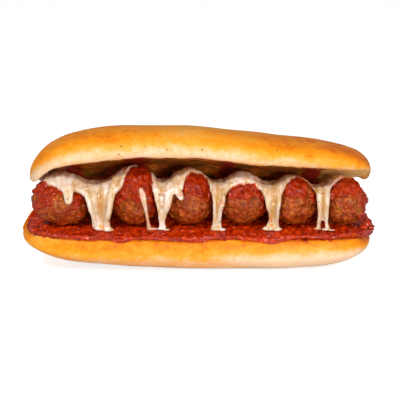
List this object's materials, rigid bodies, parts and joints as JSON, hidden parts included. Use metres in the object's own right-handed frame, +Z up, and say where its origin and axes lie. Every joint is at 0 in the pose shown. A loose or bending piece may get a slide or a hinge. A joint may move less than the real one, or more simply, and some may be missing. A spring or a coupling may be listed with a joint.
{
  "type": "meatball submarine sandwich",
  "caption": "Open-sided long roll filled with a row of meatballs on tomato sauce, with melted cheese draped over them.",
  "frame": {"origin": "bottom centre of the bounding box, on the surface the sandwich rests on", "axes": "+X along the roll, the open side and the filling face -Y, +Z up"},
  "size_m": [0.2634, 0.0755, 0.1058],
  "materials": {
    "crust": "soft baked crust, satin, golden brown to cream",
    "meat": "browned and juicy, uneven satin",
    "sauce": "wet chunky tomato sauce",
    "cheese": "melted, soft uneven gloss",
    "crumb": "toasted open crumb, matte",
    "herbs": "dried herb flakes",
    "oil": "orange oil drops, glossy"
  },
  "bodies": {
    "root": {"bun_bottom": "crust", "bun_top": "crust", "sauce_bed": "sauce", "meatball_1": "meat", "meatball_2": "meat", "meatball_3": "meat", "meatball_4": "meat", "meatball_5": "meat", "meatball_6": "meat", "cheese": "cheese", "cheese_strand": "cheese"}
  },
  "joints": []
}
